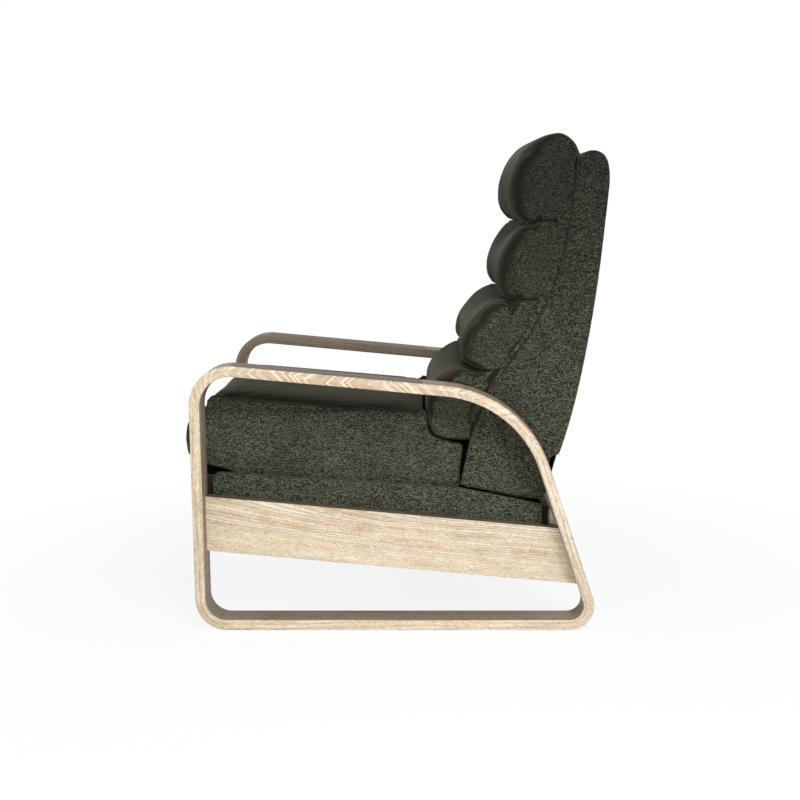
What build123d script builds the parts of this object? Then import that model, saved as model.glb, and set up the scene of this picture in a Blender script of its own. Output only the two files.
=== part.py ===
from build123d import *
import os
from math import atan, atan2, cos, degrees, radians, sin

# Reclining armchair on two bent-laminated oak loops, in millimetres.
# +Z is up, -Y is the way the sitter faces, +X is the sitter's left.
# Outlines are drawn in the side view: across is the distance behind the
# front face of the front legs, and up is the height over the floor.

# Bent loops
overall_width = 711.0
loop_width = 70.0
strip = 22.0
front_y = -417.7
arm_front_height = 568.8
rear_foot = 860.0
arm_fall_share = 0.0925
rear_lean_share = 0.3394
front_top_radius = 85.0
front_bottom_radius = 67.0
rear_bottom_radius = 52.0
arm_rear_radius = 250.0
loop_edge = 2.0

# Side boards between the legs, and the loose tenons that hold them
board_thickness = 25.0
board_height = 118.0
board_top_front = 284.2
tenon_thickness = 8.0
tenon_height = 70.0
tenon_in_leg = 14.0
tenon_in_board = 30.0
tenon_play = 0.3

# Upholstered base between the boards
skin = 0.4
base_panel = 11.6
base_front = 28.0
base_rear = 742.0
base_top_front = 327.4
base_fall_share = 0.0596
base_step = 551.0
base_rear_top = 252.0
base_corner = 18.0
base_foot = 12.0
front_panel_drop = 4.0
rail_thickness = 26.4
rail_drop = 10.0
low_rail_height = 80.0
rail_step = 30.0
cross_rail = 25.0
cross_rail_height = 70.0
cover_thickness = 1.5

# Steel slides under the seat
channel_height = 28.0
channel_depth = 17.0
channel_wall = 2.5
channel_drop = 27.0
channel_front = 112.0
channel_length = 372.0
runner_front = 178.0
runner_length = 300.0
runner_gap = 0.4
runner_web = 4.0
runner_rise = 70.0

# Back, drawn in shares of its rise above the pivot
pivot_y = 650.0
pivot_z = 430.0
back_rise = 607.0
wing_thickness = 10.0
wing_gap = 0.8
shell_thickness = 16.0
lining = 2.6
seam_gap = 0.8
lining_gap = 0.15
roll_gap_share = 0.04
post_thickness = 25.0
arm_plate = 4.0
arm_plate_width = 34.0
bracket_plate = 4.0
bracket_foot = 80.0
bracket_low = 200.0
washer = 2.0
drive_arm = 115.0
recline = 32.0
drive_radius = 5.0
drive_play = 1.7
pivot_radius = 6.0
nut_share = 1.7
drive_bar_share = 0.7
post_bar_share = 0.8
block = 40.0

# Seat
seat_gap = 0.8
seat_front = 18.0
seat_panel = 20.0
seat_top_front = 498.0
cushion_thickness = 51.0
seat_crown = 24.0
deck_fall_share = 0.0745
nose_length = 52.0
nose_share = 0.42
bulge_share = 0.19
rear_round = 30.0
seat_rear_clearance = 1.4
seat_rear = 557.0
lumbar_gap = 5.0
front_lift = 22.0
front_lift_length = 58.0
spring_rail = 25.0
spring_rail_height = 18.0
front_rail_y = 96.0
wire = 3.2
spring_count = 4
spring_spacing = 100.0
spring_pitch = 58.0
spring_swing = 22.0
spring_flat_share = 0.35

# Folding footrest linkage, one set at each side
link_span = 94.0
link_width = 14.0
link_thickness = 3.0
link_gap = 1.0
octagon_share = 0.29
fold_y = 86.0
fold_z = 425.0
closed_angle = 80.0
open_angle = 9.5
stud_radius = 3.0
rivet_sides = 12
cam_radius = 4.0
running = 0.05
tail = 30.0
cam_play = 0.4
cam_wall = 7.0
cam_top_wall = 3.0
cam_flange = 30.0
cam_foot = 215.0
plate_thickness = 4.0
plate_margin = 16.0

# Footrest
pad_rear = 2.0
pad_depth = 28.0
pad_bottom = 346.0
pad_height = 96.0
footboard = 12.0
footboard_inset = 10.0
footboard_margin = 7.0

overrun = 40.0

loop_out = overall_width / 2
loop_in = loop_out - loop_width
board_out = loop_out - loop_width / 2
board_in = board_out - board_thickness
base_out = board_in - skin
base_in = base_out - base_panel
rail_in = base_in - rail_thickness
wing_out = base_in - wing_gap
wing_in = wing_out - wing_thickness
seat_half = wing_in - seat_gap
seat_in = seat_half - seat_panel
plate_in = seat_in - plate_thickness
link_pitch = link_thickness + link_gap
link_out = [plate_in - link_gap - layer * link_pitch for layer in range(4)]
cam_out = link_out[3] - link_thickness - 2 * link_gap - link_thickness
arm_out = rail_in - bracket_plate - washer
post_out = arm_out - arm_plate
post_in = post_out - post_thickness

os.makedirs("parts", exist_ok=True)


def side(x):
    """The side view, at distance x to the left of the chair's middle."""
    return Plane(origin=(x, front_y, 0), x_dir=(0, 1, 0), z_dir=(1, 0, 0))


def keep(part, name):
    part.label = name
    export_step(part, f"parts/{name}.step")


def keep_both(part, name):
    """Write the left-hand piece, and its mirror image as the right-hand one."""
    keep(part, f"{name}_left")
    keep(mirror(part, about=Plane.YZ), f"{name}_right")


def arm_top(y):
    return arm_front_height - arm_fall_share * y


def rear_line(z):
    return rear_foot - rear_lean_share * z


def board_top(y):
    return board_top_front - arm_fall_share * y


def board_foot(y):
    return board_top(y) - board_height


def base_top(y):
    """Top edge of the base, which drops away under the back."""
    if y <= base_step:
        return base_top_front - base_fall_share * y
    fall = (base_top(base_step) - base_rear_top) / (base_rear - base_step)
    return base_top(base_step) - fall * (y - base_step)


def seat_foot(y):
    return base_top(y) + seat_gap


def deck(y):
    """Underside of the seat cushion."""
    return seat_top_front - cushion_thickness - deck_fall_share * y


def back_points(shares, shift=0):
    """Points of the back from shares of its rise, moved rearwards by shift."""
    return [(pivot_y + a * back_rise + shift, pivot_z + b * back_rise) for a, b in shares]


# Bent loops: one strip glued up from thin oak layers round a former
corner = (rear_foot - rear_lean_share * arm_front_height) / (1 - rear_lean_share * arm_fall_share)
loop_corners = [(0, 0), (rear_foot, 0), (corner, arm_top(corner)), (0, arm_front_height)]
loop_radii = [front_bottom_radius, rear_bottom_radius, arm_rear_radius, front_top_radius]
rear_thick = strip / cos(atan(rear_lean_share))


def board_end(z):
    """Front face of the rear leg at height z."""
    return rear_line(z) - rear_thick


def meet_rear_leg(height_of):
    """Where a sloping edge of the board meets the rear leg."""
    y = base_rear
    for _ in range(20):
        y = board_end(height_of(y))
    return (y, height_of(y))


rear_top = meet_rear_leg(board_top)
rear_low = meet_rear_leg(board_foot)
board_mid = (board_in + board_out) / 2
rear_turn = degrees(atan(rear_lean_share))


def tenon_planes():
    """Planes square to each tenon, centred on the leg's face."""
    front_mid = board_foot(strip) + board_height / 2
    yield Plane(origin=(board_mid, front_y + strip, front_mid), x_dir=(1, 0, 0), z_dir=(0, 1, 0))
    rear_mid = (rear_low[1] + rear_top[1]) / 2
    way = (0, -cos(radians(rear_turn)), -sin(radians(rear_turn)))
    yield Plane(origin=(board_mid, front_y + board_end(rear_mid), rear_mid), x_dir=(1, 0, 0), z_dir=way)


def mortise(depth):
    """Cut a tenon's slot, depth deep to each side of the leg's face."""
    for plane in tenon_planes():
        with BuildSketch(plane) as slot:
            Rectangle(tenon_thickness + 2 * tenon_play, tenon_height + 2 * tenon_play)
        extrude(slot.sketch, amount=depth + tenon_play, both=True, mode=Mode.SUBTRACT)


with BuildPart() as loop:
    with BuildSketch(side(loop_in)) as ring:
        with BuildLine():
            FilletPolyline(*loop_corners, radius=loop_radii, close=True)
        make_face()
        offset(amount=-strip, mode=Mode.SUBTRACT)
    extrude(amount=loop_width)
    chamfer(loop.faces().filter_by(Axis.X).edges(), loop_edge)
    mortise(tenon_in_leg)
keep_both(loop.part, "loop")

with BuildPart() as board:
    with BuildSketch(side(board_in)):
        with BuildLine():
            Polyline(
                (strip, board_foot(strip)), rear_low, rear_top, (strip, board_top(strip)), close=True
            )
        make_face()
    extrude(amount=board_thickness)
    mortise(tenon_in_board)
keep_both(board.part, "side_board")

with BuildPart() as tenons:
    for plane in tenon_planes():
        with BuildSketch(plane.offset(-tenon_in_leg)):
            Rectangle(tenon_thickness, tenon_height)
        extrude(amount=tenon_in_leg + tenon_in_board)
    mirror(about=Plane.YZ)
keep(tenons.part, "board_tenons")


# Base: upholstered panels on oak rails, open at the bottom over a dust cover
def base_low(y):
    return board_foot(y) + base_foot


with BuildPart() as base_side:
    with BuildSketch(side(base_in)):
        with BuildLine():
            Polyline(
                (base_front, base_low(base_front)),
                (base_rear, base_low(base_rear)),
                (base_rear, base_rear_top),
                (base_step, base_top(base_step)),
                (base_front, base_top(base_front)),
                close=True,
            )
        face = make_face()
        front_corner = face.vertices().sort_by_distance((base_front, base_top(base_front)))[0]
        fillet(front_corner, base_corner)
    extrude(amount=base_panel)
keep_both(base_side.part, "base_side_panel")

front_panel_top = base_top(base_front + base_panel) - front_panel_drop
with BuildPart() as base_front_panel:
    with BuildSketch(side(0)):
        with BuildLine():
            Polyline(
                (base_front, base_low(base_front)),
                (base_front + base_panel, base_low(base_front + base_panel)),
                (base_front + base_panel, front_panel_top),
                (base_front, front_panel_top),
                close=True,
            )
        face = make_face()
        front_corner = face.vertices().sort_by_distance((base_front, front_panel_top))[0]
        fillet(front_corner, base_panel * 2 / 3)
    extrude(amount=base_in, both=True)
keep(base_front_panel.part, "base_front_panel")

with BuildPart() as base_rear_panel:
    with BuildSketch(side(0)):
        with BuildLine():
            Polyline(
                (base_rear - base_panel, base_low(base_rear - base_panel)),
                (base_rear, base_low(base_rear)),
                (base_rear, base_rear_top),
                (base_rear - base_panel, base_rear_top),
                close=True,
            )
        make_face()
    extrude(amount=base_in, both=True)
keep(base_rear_panel.part, "base_rear_panel")

rail_front = base_front + base_panel
rail_rear = base_rear - base_panel
with BuildPart() as base_rail:
    with BuildSketch(side(rail_in)):
        high_end = base_step - 2 * rail_step
        with BuildLine():
            Polyline(
                (rail_front, base_low(rail_front)),
                (rail_rear, base_low(rail_rear)),
                (rail_rear, base_low(rail_rear) + low_rail_height),
                (high_end + rail_step, base_low(high_end) + low_rail_height),
                (high_end, base_top(high_end) - rail_drop),
                (rail_front, base_top(rail_front) - 2 * rail_drop),
                close=True,
            )
        make_face()
    extrude(amount=rail_thickness)
keep_both(base_rail.part, "base_rail")


def cross_rail_part(y):
    """Rail from one base rail to the other, its front face at y."""
    with BuildPart() as rail:
        with BuildSketch(side(0)):
            with BuildLine():
                Polyline(
                    (y, base_low(y)),
                    (y + cross_rail, base_low(y + cross_rail)),
                    (y + cross_rail, base_low(y) + cross_rail_height),
                    (y, base_low(y) + cross_rail_height),
                    close=True,
                )
            make_face()
        extrude(amount=rail_in, both=True)
    return rail.part


keep(cross_rail_part(rail_front), "base_cross_rail_front")
keep(cross_rail_part(rail_rear - cross_rail), "base_cross_rail_rear")

with BuildPart() as dust_cover:
    with BuildSketch(side(0)):
        with BuildLine():
            Polyline(
                (base_front, base_low(base_front) - cover_thickness),
                (base_rear, base_low(base_rear) - cover_thickness),
                (base_rear, base_low(base_rear)),
                (base_front, base_low(base_front)),
                close=True,
            )
        make_face()
    extrude(amount=base_in, both=True)
keep(dust_cover.part, "base_dust_cover")

# Slides: a steel channel on each base rail, and the seat's runner in it
fall_angle = atan(base_fall_share)


def slide_plane(y):
    """Square to the slide, its origin on the channel's centre line, up along +y."""
    return Plane(
        origin=(0, front_y + y, base_top(y) - channel_drop),
        x_dir=(1, 0, 0),
        z_dir=(0, -cos(fall_angle), sin(fall_angle)),
    )


with BuildPart() as channels:
    with BuildSketch(slide_plane(channel_front + channel_length)):
        with Locations((rail_in - channel_depth / 2, 0)):
            Rectangle(channel_depth, channel_height)
        with Locations((rail_in - channel_depth / 2 - channel_wall, 0)):
            Rectangle(channel_depth, channel_height - 2 * channel_wall, mode=Mode.SUBTRACT)
    extrude(amount=channel_length)
    mirror(about=Plane.YZ)
keep(channels.part, "slide_channels")

runner_height = channel_height - 2 * channel_wall - 2 * runner_gap
runner_out = rail_in - channel_wall - runner_gap
web_out = rail_in - channel_depth - runner_gap
with BuildPart() as runners:
    with BuildSketch(slide_plane(runner_front + runner_length)):
        with Locations((web_out, 0)):
            Rectangle(runner_out - web_out, runner_height, align=(Align.MIN, Align.CENTER))
        with Locations((web_out, -runner_height / 2)):
            Rectangle(runner_web, runner_height / 2 + runner_rise, align=(Align.MAX, Align.MIN))
        with Locations((web_out - runner_web, runner_rise)):
            Rectangle(
                seat_in - web_out + runner_web, runner_web, align=(Align.MIN, Align.MAX)
            )
    extrude(amount=runner_length)
    mirror(about=Plane.YZ)
keep(runners.part, "slide_runners")

# Pivot brackets: steel plates that stand on the base rails and carry the back
with BuildPart() as brackets:
    with BuildSketch(side(rail_in - bracket_plate)):
        with BuildLine():
            Polyline(
                (pivot_y - bracket_foot / 2, bracket_low - rail_step),
                (pivot_y + bracket_foot / 2, bracket_low - rail_step),
                (pivot_y + arm_plate_width / 2, pivot_z),
                (pivot_y - arm_plate_width / 2, pivot_z),
                close=True,
            )
        make_face()
        with Locations((pivot_y, pivot_z)):
            Circle(arm_plate_width / 2)
    extrude(amount=bracket_plate)
    with BuildSketch(side(post_out)):
        with Locations((pivot_y, pivot_z)):
            Circle(pivot_radius)
    extrude(amount=rail_in - post_out)
    with BuildSketch(side(rail_in)):
        with Locations((pivot_y, pivot_z)):
            RegularPolygon(pivot_radius * nut_share, 6)
    extrude(amount=pivot_radius)
    mirror(about=Plane.YZ)
keep(brackets.part, "back_pivot_brackets")

# Footrest linkage. Each stage is a pair of crossed links; the front links go
# from the rear top to the front foot, the rear links from the foot to the top.
step_closed = link_span * cos(radians(closed_angle))
drop_closed = link_span * sin(radians(closed_angle))
drop_open = link_span * sin(radians(open_angle))
fold_turn = closed_angle - open_angle
seat_travel = drive_arm * sin(radians(recline)) / cos(fall_angle)


def stage_point(stage, share):
    """Pivot of the folded linkage: share 0 is its top row, 1 its foot row."""
    return (fold_y - stage * step_closed, fold_z - share * drop_closed)


def middle(stage):
    return (fold_y - (stage + 0.5) * step_closed, fold_z - drop_closed / 2)


def bar(start, end, width):
    """Bar between two points of the side view, its ends cut to points of an octagon."""
    across, up = end[0] - start[0], end[1] - start[1]
    length = (across**2 + up**2) ** 0.5
    turn = degrees(atan2(up, across))
    half = width / 2
    cut = width * octagon_share
    reach = length / 2 + half
    corners = [(reach, half - cut), (reach - cut, half), (cut - reach, half), (-reach, half - cut)]
    corners += [(-x, -y) for x, y in corners]
    with Locations(((start[0] + end[0]) / 2, (start[1] + end[1]) / 2)):
        Polygon(*corners, rotation=turn, align=None)


def drill(point, radius):
    with Locations(point):
        Circle(radius, mode=Mode.SUBTRACT)


def stud(point, inner, outer, radius):
    """Round stud from x = inner to x = outer."""
    with BuildSketch(side(inner)) as disc:
        with Locations(point):
            Circle(radius)
    extrude(disc.sketch, amount=outer - inner)


def rivet(point, inner, outer):
    """Rivet of two links, drawn with few sides, as it is small and out of sight."""
    with BuildSketch(side(inner)) as disc:
        with Locations(point):
            RegularPolygon(stud_radius, rivet_sides)
    extrude(disc.sketch, amount=outer - inner)


hole = stud_radius + running
for stage in range(3):
    top, foot = stage_point(stage, 0), stage_point(stage + 1, 1)
    with BuildPart() as front_link:
        with BuildSketch(side(link_out[0] - link_thickness)):
            bar(top, foot, link_width)
            if stage == 0:
                drill(top, cam_radius + running)
        extrude(amount=link_thickness)
        rivet(middle(stage), link_out[1] - link_thickness, link_out[0])
        rivet_end = link_out[3] if stage == 2 else link_out[1]
        rivet(foot, rivet_end - link_thickness, link_out[0])
        if stage > 0:
            rivet(top, link_out[1] - link_thickness, link_out[0])
        mirror(about=Plane.YZ)
    keep(front_link.part, f"footrest_link_front_{stage + 1}")

    foot, top = stage_point(stage, 1), stage_point(stage + 1, 0)
    with BuildPart() as rear_link:
        lower = foot
        if stage == 0:
            lower = (
                foot[0] + tail * cos(radians(closed_angle)),
                foot[1] - tail * sin(radians(closed_angle)),
            )
        with BuildSketch(side(link_out[1] - link_thickness)):
            bar(lower, top, link_width)
            drill(middle(stage), hole)
            if stage < 2:
                drill(top, hole)
            if stage > 0:
                drill(foot, hole)
        extrude(amount=link_thickness)
        if stage == 0:
            stud(foot, link_out[1] - link_thickness, seat_in, cam_radius)
            stud(lower, cam_out - link_thickness, link_out[1], cam_radius)
        if stage == 2:
            rivet(top, link_out[2] - link_thickness, link_out[1])
        mirror(about=Plane.YZ)
    keep(rear_link.part, f"footrest_link_rear_{stage + 1}")

# Side plates on the seat, with the stud of the first links and the foot's slot
with BuildPart() as side_plates:
    with BuildSketch(side(plate_in)):
        slot_low = fold_z - drop_closed
        slot_high = fold_z - drop_open
        plate_low = slot_low - cam_radius - cam_play - cam_wall / 2
        with BuildLine():
            Polyline(
                (fold_y - plate_margin, plate_low),
                (fold_y + plate_margin, plate_low),
                (fold_y + plate_margin, fold_z + plate_margin / 2),
                (fold_y - plate_margin, fold_z + plate_margin / 2),
                close=True,
            )
        face = make_face()
        chamfer(face.vertices(), plate_margin / 3)
        with Locations((fold_y, (slot_low + slot_high) / 2)):
            SlotCenterToCenter(
                slot_high - slot_low, 2 * (cam_radius + cam_play), rotation=90, mode=Mode.SUBTRACT
            )
        drill((fold_y, fold_z), cam_radius)
    extrude(amount=plate_thickness)
    stud((fold_y, fold_z), link_out[0] - link_thickness - link_gap / 2, seat_in, cam_radius)
    mirror(about=Plane.YZ)
keep(side_plates.part, "linkage_side_plates")


def cam_point(share):
    """Centre of the tail stud over the base, at a share of the opening."""
    angle = radians(closed_angle - share * fold_turn)
    back = fold_y + tail * cos(angle) - share * seat_travel * cos(fall_angle)
    up = fold_z + share * seat_travel * sin(fall_angle) - (link_span + tail) * sin(angle)
    return (back, up)


cam_shares = (0, 0.25, 0.5, 0.75, 1)
cam_half = cam_radius + cam_play
with BuildPart() as cam_plates:
    with BuildSketch(side(cam_out - link_thickness)):
        low, high = cam_point(0), cam_point(1)
        with BuildLine():
            Polyline(
                (low[0] + cam_half + cam_wall, low[1]),
                (high[0] + cam_half + cam_wall, high[1] + cam_half + cam_top_wall),
                (high[0] - cam_half - cam_wall, high[1] + cam_half + cam_top_wall),
                (high[0] - cam_half - cam_wall, high[1] - cam_half),
                (low[0] - cam_half - cam_wall, low[1]),
                (rail_front + cross_rail, cam_foot + cam_flange),
                (rail_front + cross_rail, cam_foot),
                (low[0] + cam_half + cam_wall, cam_foot),
                close=True,
            )
        make_face()
        with BuildLine():
            Spline(*[cam_point(share) for share in cam_shares])
        trace(line_width=2 * cam_half, mode=Mode.SUBTRACT)
        for end in (low, high):
            drill(end, cam_half)
    extrude(amount=link_thickness)
    with BuildSketch(side(cam_out - link_thickness - cam_flange)):
        with Locations((rail_front + cross_rail, cam_foot)):
            Rectangle(link_thickness, cam_flange, align=(Align.MIN, Align.MIN))
    extrude(amount=cam_flange)
    mirror(about=Plane.YZ)
keep(cam_plates.part, "footrest_cam_plates")

# Footrest: brackets at the front pivots, a plywood board and its pad
hinge = stage_point(3, 0)
lever = (drop_closed**2 - drop_open**2) / (2 * drop_closed)
lever_point = (hinge[0], hinge[1] - lever)
board_rear = pad_rear + footboard
board_low = pad_bottom + footboard_margin
board_high = pad_bottom + pad_height - footboard_margin
with BuildPart() as foot_brackets:
    with BuildSketch(side(link_out[2] - link_thickness)):
        bar(hinge, lever_point, link_width)
        with Locations((board_rear, (hinge[1] + lever_point[1]) / 2)):
            Rectangle(hinge[0] - board_rear, lever + link_width, align=(Align.MIN, Align.CENTER))
        drill(hinge, hole)
        drill(lever_point, stud_radius)
    extrude(amount=link_thickness)
    with BuildSketch(side(link_out[2] - link_thickness)):
        with Locations((board_rear, (hinge[1] + lever_point[1]) / 2)):
            Rectangle(link_thickness, lever + link_width, align=(Align.MIN, Align.CENTER))
    extrude(amount=plate_margin)
    mirror(about=Plane.YZ)
keep(foot_brackets.part, "footrest_brackets")

foot_pivot = stage_point(3, 1)
with BuildPart() as levelling:
    with BuildSketch(side(link_out[3] - link_thickness)):
        bar(foot_pivot, lever_point, link_width - link_gap)
        drill(foot_pivot, hole)
        drill(lever_point, stud_radius)
    extrude(amount=link_thickness)
    mirror(about=Plane.YZ)
keep(levelling.part, "footrest_levelling_links")

with BuildPart() as foot_board:
    with BuildSketch(side(0)):
        with Locations((pad_rear, board_low)):
            Rectangle(footboard, board_high - board_low, align=(Align.MIN, Align.MIN))
    extrude(amount=seat_half - footboard_inset, both=True)
keep(foot_board.part, "footrest_board")

# Cushions: arcs in the side view, drawn in towards each end
crown_shares = ((-1, 0.9), (-0.95, 0.965), (0.95, 0.965), (1, 0.9))


def crowned(points, centre, half):
    """Cushion whose outline shrinks about centre towards its two ends."""
    with BuildPart() as cushion:
        for across, size in crown_shares:
            drawn = []
            for point in points:
                if point is not None:
                    point = tuple(c + (p - c) * size for p, c in zip(point, centre))
                drawn.append(point)
            with BuildSketch(side(across * half)):
                with BuildLine():
                    for i in range(0, len(drawn), 2):
                        start, bend, end = drawn[i], drawn[i + 1], drawn[(i + 2) % len(drawn)]
                        if bend is None:
                            Line(start, end)
                        else:
                            ThreePointArc(start, bend, end)
                make_face()
        loft(ruled=True)
    return cushion.part


pad_shares = (
    (1, 0.04), (0.75, 0), (0.45, 0.06), (0.2, 0.14), (0.06, 0.32), (0, 0.52),
    (0.08, 0.75), (0.2, 0.88), (0.42, 0.95), (0.72, 1), (1, 0.94), None,
)
pad_points = []
for share in pad_shares:
    if share is not None:
        share = (pad_rear - pad_depth * (1 - share[0]), pad_bottom + pad_height * share[1])
    pad_points.append(share)
pad_centre = (pad_rear, pad_bottom + pad_height / 2)
keep(crowned(pad_points, pad_centre, seat_half), "footrest_pad")

# Rolls of the back. Behind, each follows one arc of the seam with the wings.
seam_shares = (
    (0.239, 0.909), (0.228, 0.800), (0.2145, 0.692), (0.188, 0.560), (0.142, 0.421),
    (0.075, 0.297), (-0.010, 0.177), (-0.069, 0.070), (-0.120, -0.062),
)
wing_corner_share = (-0.155, -0.2216)
wing_heel_share = (0.139, -0.275)
roll_shares = {
    "head_roll": (
        (0.13, 0.690), (0.047, 0.694), (0.020, 0.725), (0.007, 0.786), (0.014, 0.872),
        (0.056, 0.930), (0.112, 0.985), (0.176, 1.0), (0.226, 0.975),
    ),
    "upper_roll": (
        (0.06, 0.428), (-0.018, 0.440), (-0.034, 0.468), (-0.040, 0.515), (-0.026, 0.592),
        (0.008, 0.650), (0.025, 0.670), (0.047, 0.686), (0.13, 0.682),
    ),
    "middle_roll": (
        (-0.08, 0.183), (-0.150, 0.222), (-0.166, 0.245), (-0.168, 0.285), (-0.148, 0.345),
        (-0.112, 0.386), (-0.065, 0.427), (-0.018, 0.432), (0.06, 0.419),
    ),
    "lumbar_roll": (
        (-0.185, -0.062), (-0.240, -0.043), (-0.262, -0.02), (-0.275, 0.026), (-0.279, 0.100),
        (-0.236, 0.167), (-0.195, 0.206), (-0.150, 0.214), (-0.08, 0.174),
    ),
}
for number, (name, shares) in enumerate(roll_shares.items()):
    top, middle_share, low = seam_shares[2 * number : 2 * number + 3]
    rim = tuple(a + (b - a) * roll_gap_share for a, b in zip(low, middle_share))
    crest = tuple(a + (b - a) * roll_gap_share for a, b in zip(top, middle_share))
    drawn = back_points((rim, *shares, crest, middle_share), -seam_gap)
    keep(crowned(drawn, drawn[-1], wing_out), name)


def arcs(points):
    """Chain of arcs, each through three points, and its two ends."""
    for i in range(0, len(points) - 1, 2):
        ThreePointArc(points[i], points[i + 1], points[i + 2])
    return points[0], points[-1]


def seam_arcs(shift):
    """The seam as a chain of arcs, moved rearwards by shift."""
    return arcs(back_points(seam_shares, shift))


# Lining behind the rolls, following the seam
shell_shares = (
    (0.247, 0.900), (0.283, 0.926), (0.324, 0.913), (0.345, 0.860), (0.343, 0.775),
    (0.317, 0.509), (0.277, 0.236), (0.214, -0.043), (0.191, -0.1145),
)
with BuildPart() as back_lining:
    with BuildSketch(side(0)):
        with BuildLine():
            near_top, near_low = seam_arcs(lining_gap)
            far_top, far_low = seam_arcs(lining_gap + lining)
            Line(near_top, far_top)
            Line(near_low, far_low)
        make_face()
    extrude(amount=wing_in - seat_gap, both=True)
keep(back_lining.part, "back_lining")

outer = back_points(shell_shares)
inner = back_points(shell_shares[3:], -shell_thickness)
lid_low = (outer[0][0], outer[0][1] - shell_thickness)
inner_top = (inner[0][0], lid_low[1])
with BuildPart() as shell:
    with BuildSketch(side(0)):
        with BuildLine():
            Spline(*outer)
            Line(outer[-1], inner[-1])
            Spline(*inner)
            Line(inner[0], inner_top)
            Line(inner_top, lid_low)
            Line(lid_low, outer[0])
        make_face()
    extrude(amount=wing_out, both=True)
keep(shell.part, "back_shell")

with BuildPart() as wing:
    with BuildSketch(side(wing_in)):
        with BuildLine():
            seam_top, seam_end = seam_arcs(0)
            wing_corner, heel = back_points([wing_corner_share, wing_heel_share])
            Line(seam_end, wing_corner)
            Line(wing_corner, heel)
            Line(heel, inner[-1])
            Spline(*inner)
            Line(inner[0], (inner[0][0], seam_top[1]))
            Line((inner[0][0], seam_top[1]), seam_top)
        make_face()
        with Locations(lid_low):
            Rectangle(4 * overrun, overrun, align=(Align.CENTER, Align.MIN), mode=Mode.SUBTRACT)
    extrude(amount=wing_thickness)
keep_both(wing.part, "back_wing")

with BuildPart() as lower_cover:
    with BuildSketch(side(0)):
        low_shares = (0.151, -0.262)
        top_rear = outer[-1]
        low_rear = back_points([low_shares])[0]
        with BuildLine():
            Polyline(
                (top_rear[0] - cover_thickness * 2, top_rear[1]),
                top_rear,
                low_rear,
                (low_rear[0] - cover_thickness * 2, low_rear[1]),
                close=True,
            )
        make_face()
    extrude(amount=post_out - washer, both=True)
keep(lower_cover.part, "back_lower_cover")

# Back frame: two sawn side members, three rails and spacing blocks
post_rear_shares = ((0.301, 0.885), (0.291, 0.742), (0.232, 0.445), (0.170, 0.280), (0.105, -0.02))
with BuildPart() as post:
    with BuildSketch(side(post_in)):
        rear_points = back_points(post_rear_shares)
        with BuildLine():
            front_top, front_low = seam_arcs(lining_gap + lining)
            rear_top_end, rear_low_end = arcs(rear_points)
            Line(front_top, rear_top_end)
            Line(front_low, rear_low_end)
        make_face()
        with Locations(lid_low):
            Rectangle(4 * overrun, overrun, align=(Align.CENTER, Align.MIN), mode=Mode.SUBTRACT)
    extrude(amount=post_thickness)
keep_both(post.part, "back_post")

rail_box_shares = {
    "back_top_rail": ((0.252, 0.805), (0.303, 0.868)),
    "back_middle_rail": ((0.180, 0.428), (0.272, 0.480)),
    "back_bottom_rail": ((0.030, 0.016), (0.199, 0.076)),
}
for name, (low_share, high_share) in rail_box_shares.items():
    low, high = back_points([low_share, high_share])
    with BuildPart() as back_rail:
        with BuildSketch(side(0)):
            with Locations(low):
                Rectangle(high[0] - low[0], high[1] - low[1], align=(Align.MIN, Align.MIN))
        extrude(amount=post_in, both=True)
    keep(back_rail.part, name)

block_shares = ((0.235, 0.78), (0.205, 0.56), (0.155, 0.38))
with BuildPart() as blocks:
    with BuildSketch(side(post_out)):
        with Locations(*back_points(block_shares)):
            Rectangle(block, block, align=(Align.MIN, Align.CENTER))
    extrude(amount=wing_in - post_out)
    mirror(about=Plane.YZ)
keep(blocks.part, "wing_blocks")

# Steel arms on the back frame: hung at the pivot, their lower ends push the seat
arm_high = back_points([(0.085, 0.23)])[0]
with BuildPart() as arms:
    with BuildSketch(side(post_out)):
        bar((pivot_y, pivot_z - drive_arm), (pivot_y, pivot_z), arm_plate_width * drive_bar_share)
        bar((pivot_y, pivot_z), arm_high, arm_plate_width * post_bar_share)
        drill((pivot_y, pivot_z), pivot_radius + running)
    extrude(amount=arm_plate)
    drive_in = link_out[1] - link_thickness
    stud((pivot_y, pivot_z - drive_arm), drive_in - runner_web, arm_out, drive_radius)
    mirror(about=Plane.YZ)
keep(arms.part, "back_arms")

# Seat: side panels and rails under a sprung deck
lumbar_low, lumbar_front = back_points([roll_shares["lumbar_roll"][0], roll_shares["lumbar_roll"][4]])
seat_rear_height = lumbar_low[1] - seat_rear_clearance
cushion_rear = lumbar_front[0] - lumbar_gap
rear_rail_y = cushion_rear - spring_rail - seat_gap
with BuildPart() as seat_side:
    with BuildSketch(side(seat_in)):
        lift_end = seat_front + front_lift_length
        with BuildLine():
            Polyline(
                (seat_front, seat_foot(seat_front) + front_lift),
                (lift_end, seat_foot(lift_end)),
                (seat_rear, seat_foot(seat_rear)),
                (seat_rear, seat_rear_height - front_lift),
                (seat_rear - front_lift_length / 2, seat_rear_height),
                (cushion_rear, seat_rear_height),
                (cushion_rear, deck(cushion_rear)),
                (seat_front, deck(seat_front)),
                close=True,
            )
        make_face()
    extrude(amount=seat_panel)
keep_both(seat_side.part, "seat_side_panel")

with BuildPart() as rear_box:
    with BuildSketch(side(0)):
        box_front = seat_rear - spring_rail
        with BuildLine():
            Polyline(
                (box_front, seat_foot(box_front)),
                (seat_rear, seat_foot(seat_rear)),
                (seat_rear, seat_rear_height - front_lift),
                (seat_rear - front_lift_length / 2, seat_rear_height),
                (cushion_rear, seat_rear_height),
                (cushion_rear, seat_rear_height - front_lift),
                (box_front, seat_rear_height - front_lift),
                close=True,
            )
        make_face()
    extrude(amount=seat_in, both=True)
keep(rear_box.part, "seat_rear_rail")


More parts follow.
